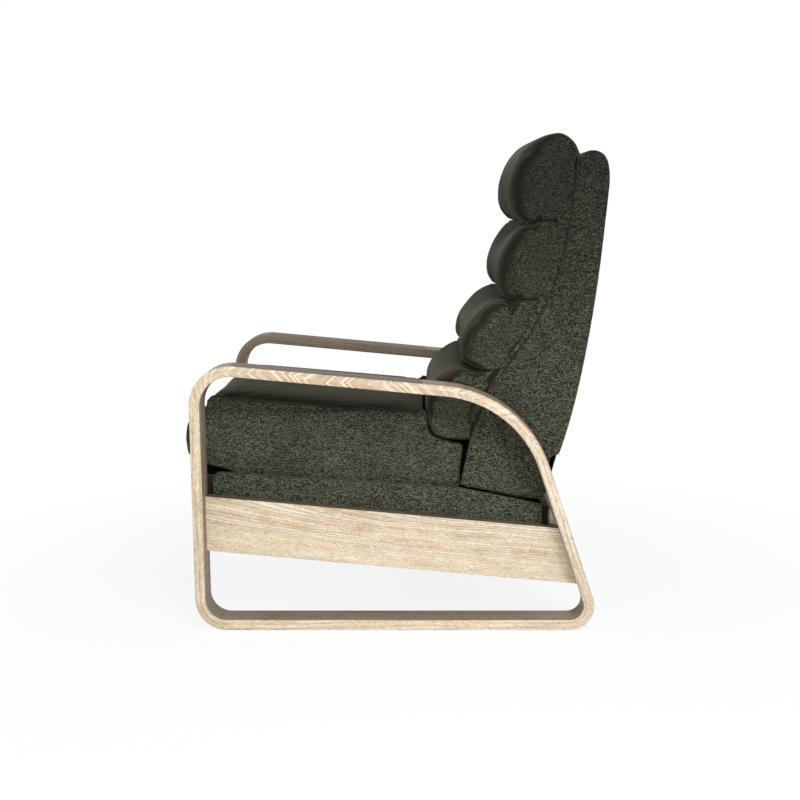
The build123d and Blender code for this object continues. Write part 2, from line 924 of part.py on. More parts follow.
def spring_rail_part(y, height, half):
    """Rail under the springs, its front face at y."""
    low = deck(y + spring_rail) - wire - height
    with BuildPart() as rail:
        with BuildSketch(side(0)):
            with BuildLine():
                Polyline(
                    (y, low),
                    (y + spring_rail, low),
                    (y + spring_rail, deck(y + spring_rail) - wire - running),
                    (y, deck(y) - wire - running),
                    close=True,
                )
            make_face()
        extrude(amount=half, both=True)
    return rail.part


keep(spring_rail_part(front_rail_y, spring_rail_height, plate_in), "seat_front_rail")
keep(spring_rail_part(rear_rail_y, 2 * spring_rail_height, seat_in), "seat_spring_rail")

# Zigzag springs of round-edged flat wire from rail to rail
spring_start = front_rail_y + spring_rail / 4
spring_end = rear_rail_y + spring_rail * 3 / 4
bends = round((spring_end - spring_start) / (spring_pitch / 2))
bend_pitch = (spring_end - spring_start) / bends
deck_plane = Plane(
    origin=(0, front_y + spring_start, deck(spring_start) - wire),
    x_dir=(1, 0, 0),
    z_dir=(0, sin(atan(deck_fall_share)), cos(atan(deck_fall_share))),
)
with BuildPart() as springs:
    with BuildSketch(deck_plane):
        for number in range(spring_count):
            middle_x = (number - (spring_count - 1) / 2) * spring_spacing
            path = [(middle_x, 0)]
            for bend in range(1, bends):
                swing = spring_swing if bend % 2 else -spring_swing
                path.append((middle_x + swing, (bend - spring_flat_share) * bend_pitch))
                path.append((middle_x + swing, (bend + spring_flat_share) * bend_pitch))
            path.append((middle_x, bends * bend_pitch))
            with BuildLine():
                Polyline(*path)
            trace(line_width=wire)
    extrude(amount=wire - running)
keep(springs.part, "seat_springs")

# Slotted brackets at the seat's rear, which take the drive studs
slot_rise = drive_arm * (1 - cos(radians(recline)))
drive_low = pivot_z - drive_arm
bracket_end = pivot_y + arm_plate_width / 2
slot_half = drive_radius + drive_play
with BuildPart() as drive_brackets:
    with BuildSketch(side(drive_in - runner_web)):
        with BuildLine():
            Polyline(
                (seat_rear, drive_low - arm_plate_width / 2),
                (bracket_end, drive_low - arm_plate_width / 2),
                (bracket_end, drive_low + slot_rise + arm_plate_width / 2),
                (seat_rear, drive_low + slot_rise + arm_plate_width / 2),
                close=True,
            )
        make_face()
        with Locations((pivot_y, drive_low + slot_rise / 2)):
            SlotCenterToCenter(slot_rise + drive_play, 2 * slot_half, rotation=90, mode=Mode.SUBTRACT)
    extrude(amount=runner_web)
    with BuildSketch(side(drive_in - spring_rail)):
        with Locations((seat_rear, drive_low - arm_plate_width / 2)):
            Rectangle(runner_web, slot_rise + arm_plate_width, align=(Align.MIN, Align.MIN))
    extrude(amount=spring_rail)
    mirror(about=Plane.YZ)
keep(drive_brackets.part, "seat_drive_brackets")

# Seat cushion: flat underneath, crowned on top, with a round nose
seat_crown_shares = ((-1, -0.3), (-0.94, 0.3), (-0.6, 0.9), (0.6, 0.9), (0.94, 0.3), (1, -0.3))


def cushion_top(y, crown):
    return seat_top_front - deck_fall_share * y + crown * seat_crown


with BuildPart() as seat_cushion:
    nose_end = seat_front + nose_length
    rear_edge = cushion_rear - rear_round
    for across, crown in seat_crown_shares:
        nose_low = deck(seat_front) + nose_share * (cushion_top(nose_end, crown) - deck(seat_front))
        rear_low = cushion_top(rear_edge, crown) - rear_round
        nose_chord = Vector(nose_length, cushion_top(nose_end, crown) - nose_low).length
        with BuildSketch(side(across * seat_half)):
            with BuildLine():
                Line((cushion_rear, deck(cushion_rear)), (seat_front, deck(seat_front)))
                Line((seat_front, deck(seat_front)), (seat_front, nose_low))
                SagittaArc(
                    (seat_front, nose_low),
                    (nose_end, cushion_top(nose_end, crown)),
                    nose_chord * bulge_share,
                )
                Line((nose_end, cushion_top(nose_end, crown)), (rear_edge, cushion_top(rear_edge, crown)))
                SagittaArc(
                    (rear_edge, cushion_top(rear_edge, crown)),
                    (cushion_rear, rear_low),
                    rear_round * bulge_share * 2**0.5,
                )
                Line((cushion_rear, rear_low), (cushion_rear, deck(cushion_rear)))
            make_face()
    loft(ruled=True)
keep(seat_cushion.part, "seat_cushion")
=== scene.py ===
from math import pi, radians, tan

import bmesh
import bpy
from mathutils import Matrix, Vector


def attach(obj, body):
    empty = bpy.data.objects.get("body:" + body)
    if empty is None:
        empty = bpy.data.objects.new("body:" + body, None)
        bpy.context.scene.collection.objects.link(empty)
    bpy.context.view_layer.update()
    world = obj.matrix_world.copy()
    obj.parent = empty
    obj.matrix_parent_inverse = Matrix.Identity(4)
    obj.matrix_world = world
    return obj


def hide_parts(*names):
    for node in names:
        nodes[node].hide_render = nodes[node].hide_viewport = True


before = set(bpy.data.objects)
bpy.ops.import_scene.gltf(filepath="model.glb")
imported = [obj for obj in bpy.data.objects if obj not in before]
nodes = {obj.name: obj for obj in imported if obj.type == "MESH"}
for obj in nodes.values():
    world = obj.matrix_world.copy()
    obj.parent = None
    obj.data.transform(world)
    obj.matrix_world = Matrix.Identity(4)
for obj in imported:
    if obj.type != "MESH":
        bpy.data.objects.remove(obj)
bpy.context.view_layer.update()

# The studio: a pale floor that fades to white, one soft lamp over the camera's side,
# a weaker one in front, a faint one near the floor and even light all round. The
# camera looks square on to the chair's left side, from a little above.
view_place = Vector((2.982, 0.0832, 0.889))
view_pitch = 0.1886
view_lens = 58.54
view_shift = (-0.0419, 0.0625)
sensor_width = 36.0
floor_size = 14.0
floor_drop = 0.0005
fade_near, fade_far = 0.5, 1.5
fade_least = 0.88
sky_light = 0.32
chair_middle = (0.0, 0.0, 0.5)


def material(name, colour, roughness=0.6, metallic=0.0):
    """Plain material with its shader, ready for finer nodes."""
    made = bpy.data.materials.new(name)
    made.use_nodes = True
    shader = made.node_tree.nodes["Principled BSDF"]
    shader.inputs["Base Color"].default_value = (*colour, 1.0)
    shader.inputs["Roughness"].default_value = roughness
    shader.inputs["Metallic"].default_value = metallic
    return made, made.node_tree, shader


def finished(name, bm, finish, smooth=True):
    """Make an object of a bmesh, with one material."""
    mesh = bpy.data.meshes.new(name)
    bm.to_mesh(mesh)
    bm.free()
    for polygon in mesh.polygons:
        polygon.use_smooth = smooth
    made = bpy.data.objects.new(name, mesh)
    bpy.context.scene.collection.objects.link(made)
    mesh.materials.append(finish)
    return made


class Wiring:
    """Short words for the nodes of one tree or group."""

    def __init__(self, tree):
        self.tree = tree

    def put(self, kind, **settings):
        node = self.tree.nodes.new(kind)
        for key, value in settings.items():
            setattr(node, key, value)
        return node

    def feed(self, socket, value):
        if isinstance(value, bpy.types.NodeSocket):
            self.tree.links.new(value, socket)
        else:
            socket.default_value = value

    def maths(self, operation, *values):
        node = self.put("ShaderNodeMath", operation=operation)
        for socket, value in zip(node.inputs, values):
            self.feed(socket, value)
        return node.outputs[0]

    def mapped(self, vector, scale=(1.0, 1.0, 1.0), turn=(0.0, 0.0, 0.0)):
        node = self.put("ShaderNodeMapping")
        self.feed(node.inputs["Vector"], vector)
        node.inputs["Scale"].default_value = scale
        node.inputs["Rotation"].default_value = turn
        return node.outputs[0]

    def noise(self, vector, scale, detail=2.0, rough=0.5):
        node = self.put("ShaderNodeTexNoise")
        self.feed(node.inputs["Vector"], self.mapped(vector, scale))
        node.inputs["Scale"].default_value = 1.0
        node.inputs["Detail"].default_value = detail
        node.inputs["Roughness"].default_value = rough
        return node.outputs["Fac"]

    def step(self, value, low, high, to_low=0.0, to_high=1.0):
        """Smooth rise from to_low to to_high while value goes from low to high."""
        node = self.put("ShaderNodeMapRange", interpolation_type="SMOOTHSTEP")
        self.feed(node.inputs["Value"], value)
        names = ("From Min", "From Max", "To Min", "To Max")
        for name, number in zip(names, (low, high, to_low, to_high)):
            node.inputs[name].default_value = number
        return node.outputs["Result"]

    def mix(self, amount, first, second, blend="MIX"):
        node = self.put("ShaderNodeMix", data_type="RGBA", blend_type=blend)
        self.feed(node.inputs["Factor"], amount)
        for socket, value in ((node.inputs[6], first), (node.inputs[7], second)):
            if isinstance(value, tuple):
                value = (*value, 1.0)
            self.feed(socket, value)
        return node.outputs[2]

    def parts(self, vector):
        node = self.put("ShaderNodeSeparateXYZ")
        self.feed(node.inputs[0], vector)
        return node.outputs

    def joined(self, x, y, z):
        node = self.put("ShaderNodeCombineXYZ")
        for socket, value in zip(node.inputs, (x, y, z)):
            self.feed(socket, value)
        return node.outputs[0]

    def bump(self, height, strength, distance):
        node = self.put("ShaderNodeBump")
        node.inputs["Strength"].default_value = strength
        node.inputs["Distance"].default_value = distance
        self.feed(node.inputs["Height"], height)
        return node.outputs["Normal"]


def grouped(name, wanted, given):
    """New node group: its wiring, its input sockets and its output sockets."""
    group = bpy.data.node_groups.new(name, "ShaderNodeTree")
    for label, kind in wanted:
        group.interface.new_socket(label, in_out="INPUT", socket_type=kind)
    for label, kind in given:
        group.interface.new_socket(label, in_out="OUTPUT", socket_type=kind)
    wiring = Wiring(group)
    return wiring, wiring.put("NodeGroupInput").outputs, wiring.put("NodeGroupOutput").inputs


def rays_seen(w):
    """1 for rays that make the picture, and 0 for those that only carry light."""
    ray = w.put("ShaderNodeLightPath").outputs
    seen = w.maths("MAXIMUM", ray["Is Camera Ray"], ray["Is Glossy Ray"])
    return w.maths("MAXIMUM", seen, ray["Is Transmission Ray"])


scene = bpy.context.scene
scene.view_settings.view_transform = "Standard"
camera = bpy.data.objects.new("camera", bpy.data.cameras.new("camera"))
scene.collection.objects.link(camera)
camera.data.sensor_width = sensor_width
camera.data.lens = view_lens
camera.data.shift_x, camera.data.shift_y = view_shift
view_turn = Matrix.Rotation(pi / 2, 4, "Z")
view_tilt = Matrix.Rotation(pi / 2 - view_pitch, 4, "X")
camera.matrix_world = Matrix.Translation(view_place) @ view_turn @ view_tilt
scene.camera = camera

floor_paint, tree, shader = material("floor paint", (0.96, 0.96, 0.96), 0.9)
w = Wiring(tree)
seen = rays_seen(w)
away = w.put("ShaderNodeVectorMath", operation="LENGTH")
w.feed(away.inputs[0], w.put("ShaderNodeTexCoord").outputs["Object"])
white = w.put("ShaderNodeEmission")
white.inputs["Color"].default_value = (1.0, 1.0, 1.0, 1.0)
blend = w.put("ShaderNodeMixShader")
fade = w.step(away.outputs["Value"], fade_near, fade_far, fade_least, 1.0)
w.feed(blend.inputs[0], w.maths("MULTIPLY", seen, fade))
w.feed(blend.inputs[1], shader.outputs[0])
w.feed(blend.inputs[2], white.outputs[0])
w.feed(tree.nodes["Material Output"].inputs["Surface"], blend.outputs[0])
bm = bmesh.new()
bmesh.ops.create_grid(bm, x_segments=1, y_segments=1, size=floor_size)
bmesh.ops.translate(bm, verts=bm.verts, vec=(0.0, 0.0, -floor_drop))
floor = finished("studio_floor", bm, floor_paint)

world = bpy.data.worlds.new("studio")
scene.world = world
world.use_nodes = True
w = Wiring(world.node_tree)
background = world.node_tree.nodes["Background"]
background.inputs["Color"].default_value = (1.0, 1.0, 1.0, 1.0)
w.feed(background.inputs["Strength"], w.step(rays_seen(w), 0.0, 1.0, sky_light, 1.0))


def lamp(name, place, target, size, power, spread=pi):
    """Square soft lamp at a place, turned to its target."""
    data = bpy.data.lights.new(name, "AREA")
    data.size = size
    data.energy = power
    data.spread = spread
    made = bpy.data.objects.new(name, data)
    made.location = place
    made.rotation_euler = (Vector(target) - Vector(place)).to_track_quat("-Z", "Y").to_euler()
    scene.collection.objects.link(made)


lamp("key_lamp", place=(2.55, 0.83, 2.59), target=chair_middle, size=1.3, power=76.0)
lamp("front_lamp", place=(0.9, -3.2, 1.3), target=chair_middle, size=1.6, power=21.0)
lamp(
    "low_lamp", place=(2.30, 0.0, 0.30), target=(0.3, 0.0, 0.20), size=0.5, power=1.6,
    spread=radians(75.0),
)

# The two loops: layers of oak glued up round a former into a closed strip, which
# is leg, arm, rear leg and floor runner in one, then planed, brushed and limed.
loop_inner = 0.2855
loop_width = 0.070
strip = 0.022
front_face = -0.4177
arm_height = 0.5688
foot_rear = 0.860
arm_fall = 0.0925
rear_lean = 0.3394
corner_radii = (0.067, 0.052, 0.250, 0.085)
edge_round = 0.0025
# Painted shade on the strip's broad faces: at least this share on faces turned inwards, and this
# share of it off the arm.
inner_shade = 0.85
run_shade = 0.67
turn_step = radians(4.0)
run_step = 0.05
weld = 0.0002
# How strongly the chevrons show: on the arm, in the bends next to it, and elsewhere.
arm_marks, bend_marks, leg_marks = 1.0, 0.55, 0.12
pith_depth = 0.055
rings_per_metre = 190.0
sway_most = 0.030
apex_wander = 0.090
chevron_slope = 1.25
next_plank = 3.0

w, given, out = grouped(
    "limed oak",
    (
        ("Place", "NodeSocketVector"), ("Pith", "NodeSocketFloat"), ("Lean", "NodeSocketFloat"),
        ("Quiet", "NodeSocketFloat"), ("Chevrons", "NodeSocketFloat"),
        ("Painted shade", "NodeSocketFloat"),
    ),
    (("Colour", "NodeSocketColor"), ("Height", "NodeSocketFloat"), ("Dullness", "NodeSocketFloat")),
)
place = given["Place"]
along, across, deep = w.parts(place)[:3]
sway = w.maths("SUBTRACT", w.noise(place, (3.0, 12.0, 12.0), 2.0), 0.5)
# Growth rings: cylinders about the pith, which lies under the face and leans to it.
up = w.maths("MULTIPLY_ADD", sway, sway_most, w.maths("SUBTRACT", across, given["Pith"]))
down = w.maths("MULTIPLY_ADD", along, given["Lean"], w.maths("ADD", deep, pith_depth))
squares = w.maths("ADD", w.maths("MULTIPLY", up, up), w.maths("MULTIPLY", down, down))
radius = w.maths("SQRT", squares)
fine = w.maths("SUBTRACT", w.noise(place, (14.0, 160.0, 160.0), 2.0), 0.5)
counted = w.maths("MULTIPLY", radius, rings_per_metre)
rings = w.maths("FRACT", w.maths("MULTIPLY_ADD", fine, 0.30, counted))
late = w.maths("MULTIPLY", w.step(rings, 0.35, 0.88), w.step(rings, 0.99, 0.92))
patch = w.noise(place, (5.0, 26.0, 26.0), 3.0)
calm = w.step(w.maths("SUBTRACT", radius, given["Quiet"]), 0.045, -0.01, 0.12, 1.0)
figure = w.maths("MULTIPLY", w.step(patch, 0.30, 0.58, 0.25, 1.0), calm)
banded = w.joined(w.maths("MULTIPLY", radius, 120.0), w.maths("MULTIPLY", along, 2.5), 0.0)
bands = w.noise(banded, (1.0, 1.0, 1.0), 1.0)
colour = w.mix(w.step(patch, 0.30, 0.70), (0.680, 0.550, 0.375), (0.600, 0.520, 0.390))
pale = w.maths("MULTIPLY", w.step(bands, 0.50, 0.64), figure)
colour = w.mix(pale, colour, (0.800, 0.720, 0.570))
tan_band = w.maths("MULTIPLY", w.step(bands, 0.47, 0.34), w.maths("MULTIPLY", figure, 0.85))
colour = w.mix(tan_band, colour, (0.560, 0.370, 0.220))
blotch = w.noise(place, (16.0, 60.0, 60.0), 2.0)
colour = w.mix(w.step(blotch, 0.52, 0.72, 0.0, 0.60), colour, (0.800, 0.710, 0.550))
colour = w.mix(w.step(blotch, 0.46, 0.30, 0.0, 0.60), colour, (0.500, 0.375, 0.250))
lines = w.maths("MULTIPLY", late, w.maths("MULTIPLY", figure, 0.80))
colour = w.mix(lines, colour, (0.400, 0.275, 0.170))
pores = w.noise(place, (70.0, 620.0, 620.0), 1.0)
specks = w.noise(place, (170.0, 480.0, 480.0), 1.0)
limed = w.step(pores, 0.53, 0.68)
sunk = w.step(specks, 0.53, 0.70)
colour = w.mix(w.maths("MULTIPLY", limed, 0.50), colour, (0.860, 0.800, 0.680))
colour = w.mix(w.maths("MULTIPLY", sunk, 0.58), colour, (0.300, 0.220, 0.145))
# Where the strip's edge cuts across its layers, the lime makes a row of chevrons.
wander = w.maths("SUBTRACT", w.noise(place, (4.5, 0.0, 0.0), 1.0), 0.5)
middle = w.maths("MULTIPLY_ADD", wander, apex_wander, strip / 2)
off = w.maths("ABSOLUTE", w.maths("SUBTRACT", across, middle))
point = w.maths("MULTIPLY_ADD", off, chevron_slope, along)
wave = w.noise(w.joined(point, off, 0.0), (105.0, 14.0, 1.0), 2.0, 0.6)
comb = w.maths("MULTIPLY", w.step(wave, 0.50, 0.58), given["Chevrons"])
gap = w.maths("MULTIPLY", w.step(wave, 0.45, 0.34), given["Chevrons"])
colour = w.mix(w.maths("MULTIPLY", given["Chevrons"], 0.50), colour, (0.540, 0.395, 0.255))
colour = w.mix(w.maths("MULTIPLY", comb, 0.66), colour, (0.900, 0.830, 0.680))
colour = w.mix(w.maths("MULTIPLY", gap, 0.70), colour, (0.330, 0.220, 0.130))
# Painted shade: faces turned away from the sides are darkened, by their share, to a streaked
# grey-brown.
streaks = w.noise(place, (6.0, 300.0, 300.0), 3.0)
shade = w.mix(w.step(streaks, 0.32, 0.68), (0.13, 0.115, 0.10), (0.26, 0.235, 0.21))
colour = w.mix(given["Painted shade"], colour, w.mix(1.0, colour, shade, "MULTIPLY"))
w.feed(out["Colour"], colour)
pitted = w.maths("ADD", w.maths("MULTIPLY", limed, 0.5), sunk)
w.feed(out["Height"], w.maths("SUBTRACT", w.maths("MULTIPLY", late, 0.25), pitted))
w.feed(out["Dullness"], w.maths("MULTIPLY_ADD", limed, 0.14, 0.56))
limed_oak = w.tree


def oak_finish(name, place_of, pith, lean, quiet):
    """Limed oak whose grain follows the place, with its chevrons and painted shade given."""
    made, tree, shader = material(name, (0.63, 0.53, 0.38))
    w = Wiring(tree)
    grain = w.put("ShaderNodeGroup", node_tree=limed_oak)
    grain.inputs["Pith"].default_value = pith
    grain.inputs["Lean"].default_value = lean
    grain.inputs["Quiet"].default_value = quiet
    for label, value in zip(("Place", "Chevrons", "Painted shade"), place_of(w)):
        w.feed(grain.inputs[label], value)
    w.feed(shader.inputs["Base Color"], grain.outputs["Colour"])
    w.feed(shader.inputs["Roughness"], grain.outputs["Dullness"])
    w.feed(shader.inputs["Normal"], w.bump(grain.outputs["Height"], 0.5, 0.0004))
    return made


def strip_place(w):
    """What the swept mesh keeps of each point's place in the strip, its chevrons and its painted
    shade.
    """
    return [
        w.put("ShaderNodeAttribute", attribute_name=name).outputs[output]
        for name, output in (("strip_place", "Vector"), ("chevrons", "Fac"), ("broad_face_shade", "Fac"))
    ]


oak_strip = oak_finish("limed oak, bent", strip_place, pith=0.080, lean=0.004, quiet=1.0)


def moved_on(bm, ring):
    """Extrude the section's face once, and give its new vertices and face."""
    made = bmesh.ops.extrude_face_region(bm, geom=ring)["geom"]
    bmesh.ops.delete(bm, geom=ring, context="FACES_ONLY")
    fresh = [e for e in made if isinstance(e, bmesh.types.BMVert)]
    return fresh, [e for e in made if isinstance(e, bmesh.types.BMFace)]


def swept_loop():
    """The strip's section, carried round four straight runs and four corners."""
    corner = (foot_rear - rear_lean * arm_height) / (1 - rear_lean * arm_fall)
    points = (
        Vector((0.0, 0.0)),
        Vector((foot_rear, 0.0)),
        Vector((corner, arm_height - arm_fall * corner)),
        Vector((0.0, arm_height)),
    )
    ways = [(points[(i + 1) % 4] - points[i]).normalized() for i in range(4)]
    turns = [ways[i - 1].angle(ways[i]) for i in range(4)]
    cuts = [corner_radii[i] * tan(turns[i] / 2) for i in range(4)]
    bm = bmesh.new()
    along = bm.verts.layers.float.new("along")
    deep = bm.verts.layers.float.new("deep")
    arm = bm.verts.layers.float.new("arm")
    begin = points[0] + ways[0] * cuts[0]
    bmesh.ops.create_grid(bm, x_segments=1, y_segments=1, size=0.5)
    bmesh.ops.scale(bm, vec=(loop_width, strip, 1.0), verts=bm.verts)
    bmesh.ops.bevel(
        bm, geom=list(bm.verts), offset=edge_round, segments=3, profile=0.5,
        affect="VERTICES", material=-1,
    )
    for vert in bm.verts:
        vert[deep] = vert.co.y + strip / 2
    stand = Matrix.Translation((loop_inner + loop_width / 2, front_face + begin.x, strip / 2))
    bmesh.ops.transform(bm, matrix=stand @ Matrix.Rotation(pi / 2, 4, "X"), verts=bm.verts)
    ring = list(bm.faces)
    gone = 0.0
    for i in range(4):
        j = (i + 1) % 4
        run = (points[j] - points[i]).length - cuts[i] - cuts[j]
        steps = max(1, round(run / run_step))
        for _ in range(steps):
            fresh, ring = moved_on(bm, ring)
            step = ways[i] * run / steps
            bmesh.ops.translate(bm, verts=fresh, vec=(0.0, step.x, step.y))
            gone += run / steps
            for vert in fresh:
                vert[along] = gone
                vert[arm] = arm_marks if i == 2 else leg_marks
        left = Vector((-ways[i].y, ways[i].x))
        centre = points[j] - ways[i] * cuts[j] + left * corner_radii[j]
        steps = max(3, round(turns[j] / turn_step))
        for _ in range(steps):
            fresh, ring = moved_on(bm, ring)
            bmesh.ops.rotate(
                bm, verts=fresh, cent=(0.0, front_face + centre.x, centre.y),
                matrix=Matrix.Rotation(turns[j] / steps, 3, "X"),
            )
            gone += (corner_radii[j] - strip / 2) * turns[j] / steps
            for vert in fresh:
                vert[along] = gone
                vert[arm] = bend_marks if i in (1, 2) else leg_marks
    bmesh.ops.delete(bm, geom=ring, context="FACES_ONLY")
    bmesh.ops.remove_doubles(bm, verts=bm.verts, dist=weld)
    bmesh.ops.recalc_face_normals(bm, faces=bm.faces)
    return bm, gone


def keep_strip_place(made, length, start):
    """Keep each face corner's place along, across and deep in the strip, and its painted shade."""
    mesh = made.data
    along, deep, arm = (
        [item.value for item in mesh.attributes[name].data] for name in ("along", "deep", "arm")
    )
    places, broad_face_shade, chevrons = [], [], []
    for polygon in mesh.polygons:
        corners = [mesh.loops[i].vertex_index for i in polygon.loop_indices]
        reach = [along[vertex] for vertex in corners]
        wraps = max(reach) - min(reach) > length / 2
        # Painted shade: faces that do not face sideways are darkened, less off the arm, and most on
        # the loops' inner sides.
        flat = max(0.0, 1.0 - 2.0 * abs(polygon.normal.x))
        if arm[corners[0]] < arm_marks:
            flat *= run_shade
        if polygon.normal.x * mesh.vertices[corners[0]].co.x < 0.0:
            flat = max(flat, inner_shade)
        for vertex, value in zip(corners, reach):
            if wraps and value < length / 2:
                value += length
            places += (start + value, deep[vertex], abs(mesh.vertices[vertex].co.x) - loop_inner)
            broad_face_shade.append(flat)
            chevrons.append(arm[vertex] * min(1.0, 2.0 * (1.0 - flat)))
    mesh.attributes.new("strip_place", "FLOAT_VECTOR", "CORNER").data.foreach_set("vector", places)
    mesh.attributes.new("broad_face_shade", "FLOAT", "CORNER").data.foreach_set("value", broad_face_shade)
    mesh.attributes.new("chevrons", "FLOAT", "CORNER").data.foreach_set("value", chevrons)


for name, sign in (("left", 1), ("right", -1)):
    bm, length = swept_loop()
    if sign < 0:
        bmesh.ops.scale(bm, vec=(-1.0, 1.0, 1.0), verts=bm.verts)
        bmesh.ops.recalc_face_normals(bm, faces=bm.faces)
    loop = finished(f"oak_loop_{name}", bm, oak_strip)
    keep_strip_place(loop, length, next_plank * (sign < 0))
    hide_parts(f"loop_{name}")
    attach(loop, "frame")

# The side boards: one wide flat-sawn oak board each, let into the legs on loose
# tenons, with its arrises just taken off, and finished like the loops.
board_arris = 0.0012
board_turn = 0.0925
board_middle = 0.215
flat_angle = radians(1.0)
same_point = 0.00002


def board_place(w):
    """Along the board, up it and into it, from the board's own corner; no chevrons, and painted
    shade on faces turned up.
    """
    spot = w.put("ShaderNodeTexCoord").outputs["Object"]
    x, y, z = w.parts(w.mapped(spot, turn=(board_turn, 0.0, 0.0)))[:3]
    place = w.joined(y, w.maths("SUBTRACT", z, board_middle), w.maths("SUBTRACT", loop_inner, x))
    upward = w.parts(w.put("ShaderNodeNewGeometry").outputs["True Normal"])[2]
    return place, 0.0, w.step(upward, 0.4, 0.8)


oak_board = oak_finish("limed oak, board", board_place, pith=0.050, lean=-0.10, quiet=0.085)


def copied(*names):
    """Merged copy of CAD nodes' meshes."""
    bm = bmesh.new()
    for node in names:
        bm.from_mesh(nodes[node].data)
    bmesh.ops.remove_doubles(bm, verts=bm.verts, dist=same_point)
    return bm


for name in ("left", "right"):
    bm = copied(f"side_board_{name}")
    hull = bmesh.ops.convex_hull(bm, input=bm.verts)
    spare = hull["geom_interior"] + hull["geom_unused"]
    spare = {e for e in spare if isinstance(e, bmesh.types.BMVert)}
    bmesh.ops.delete(bm, geom=list(spare), context="VERTS")
    bmesh.ops.dissolve_limit(bm, angle_limit=flat_angle, verts=bm.verts, edges=bm.edges)
    bmesh.ops.recalc_face_normals(bm, faces=bm.faces)
    bmesh.ops.bevel(
        bm, geom=list(bm.edges), offset=board_arris, segments=2, profile=0.5,
        affect="EDGES", material=-1,
    )
    board = finished(f"oak_board_{name}", bm, oak_board, smooth=False)
    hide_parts(f"side_board_{name}")
    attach(board, "frame")

# The base: pine rails upholstered on the outside in one band of cloth over thin
# foam. The cloth turns in over the rails' tops in a lip and is stapled underneath.
# Outlines are in mm, in the side view, from the loops' front face and the floor.
base_low = ((34.0, 175.1), (731.0, 110.6))
base_high = (
    (731.0, 258.2), (551.0, 295.4), (52.0, 326.2), (45.0, 325.9), (39.5, 323.5), (35.5, 318.5),
    (34.0, 311.0),
)
base_inner = 0.2835
base_outer = 0.2951
lip = ((39.0, 318.0), (495.0, 290.0), (495.0, 298.4), (52.0, 325.2), (43.0, 325.0), (39.0, 322.0))
lip_inner = 0.2728
front_pad = (
    (40.0, 178.0), (22.0, 178.0), (16.5, 188.0), (15.5, 314.0), (16.4, 316.7), (40.0, 316.7),
)
front_pad_half = 0.2720
rear_pad = ((729.0, 112.0), (746.0, 110.4), (746.0, 252.5), (729.0, 256.5))
# Painted shade on the base's ends: within this half width, from and to these places from the front,
# on faces that point this far sideways.
shaded_ends = ((0.2725, -0.002, 0.045, 0.0), (0.2840, 0.7265, 0.760, 0.5))
painted_shade_level = 0.3
cloth_fold = 0.0018
stuffing_pressure = 4.0
puff_frames = 20

# The cloth is a heavy flat chenille: thick flecked weft yarns over a fine dark warp.
# Worn clouds darken it a little at random; painted sheen and shade, where marked, turn the flecks
# to a dark smooth pile or a lighter streaked one.
w, given, out = grouped(
    "olive chenille",
    (("Place", "NodeSocketVector"), ("Sheen and shade", "NodeSocketFloat")),
    (("Colour", "NodeSocketColor"), ("Height", "NodeSocketFloat")),
)
place = given["Place"]
weft = w.noise(place, (130.0, 130.0, 560.0), 2.0, 0.6)
speckle = w.noise(place, (540.0, 540.0, 540.0), 1.0)
yarn = w.maths("ADD", w.maths("MULTIPLY", weft, 0.40), w.maths("MULTIPLY", speckle, 0.60))
colour = w.mix(w.step(yarn, 0.41, 0.50), (0.0050, 0.0060, 0.0032), (0.0400, 0.0440, 0.0290))
colour = w.mix(w.step(yarn, 0.50, 0.61), colour, (0.1550, 0.1650, 0.1180))
slub = w.noise(place, (38.0, 38.0, 430.0), 1.0)
colour = w.mix(w.step(slub, 0.62, 0.74, 0.0, 0.55), colour, (0.150, 0.160, 0.115))
cloud = w.noise(place, (11.0, 11.0, 11.0), 3.0)
worn = w.mix(w.step(cloud, 0.3, 0.7), (0.80, 0.80, 0.78), (1.0, 1.0, 1.0))
colour = w.mix(1.0, colour, worn, "MULTIPLY")
warp = w.noise(place, (300.0, 20.0, 20.0), 2.0, 0.5)
# Painted sheen and painted shade: the two pile colours, streaked along the warp.
sheen_pile = w.mix(w.step(warp, 0.25, 0.75), (0.024, 0.025, 0.014), (0.052, 0.050, 0.031))
shade_pile = w.mix(w.step(warp, 0.25, 0.75), (0.010, 0.010, 0.005), (0.026, 0.026, 0.015))
sheen_and_shade = given["Sheen and shade"]
colour = w.mix(w.step(sheen_and_shade, 0.05, 0.30), colour, shade_pile)
colour = w.mix(w.step(sheen_and_shade, 0.45, 0.95), colour, sheen_pile)
# Painted shade: the colour darkens with height, to about a third at the top.
height_shade = w.step(w.parts(place)[2], 0.36, 1.00, 1.0, 0.36)
w.feed(out["Colour"], w.mix(height_shade, (0.0, 0.0, 0.0), colour))
fibres = w.noise(place, (900.0, 900.0, 1100.0), 1.0)
woven = w.maths("ADD", yarn, w.maths("MULTIPLY", fibres, 0.5))
smooth = w.maths("SUBTRACT", 1.0, w.maths("MULTIPLY", sheen_and_shade, 0.6))
w.feed(out["Height"], w.maths("MULTIPLY", woven, smooth))
chenille_weave = w.tree

chenille, tree, shader = material("olive chenille", (0.050, 0.054, 0.036), 0.95)
shader.inputs["Specular IOR Level"].default_value = 0.12
shader.inputs["Sheen Weight"].default_value = 0.22
shader.inputs["Sheen Roughness"].default_value = 0.45
shader.inputs["Sheen Tint"].default_value = (0.40, 0.42, 0.33, 1.0)
w = Wiring(tree)
woven = w.put("ShaderNodeGroup", node_tree=chenille_weave)
w.feed(woven.inputs["Place"], w.put("ShaderNodeTexCoord").outputs["Object"])
sheen_and_shade = w.put("ShaderNodeAttribute", attribute_name="sheen_and_shade")
w.feed(woven.inputs["Sheen and shade"], sheen_and_shade.outputs["Fac"])
w.feed(shader.inputs["Base Color"], woven.outputs["Colour"])
w.feed(shader.inputs["Normal"], w.bump(woven.outputs["Height"], 0.7, 0.0012))


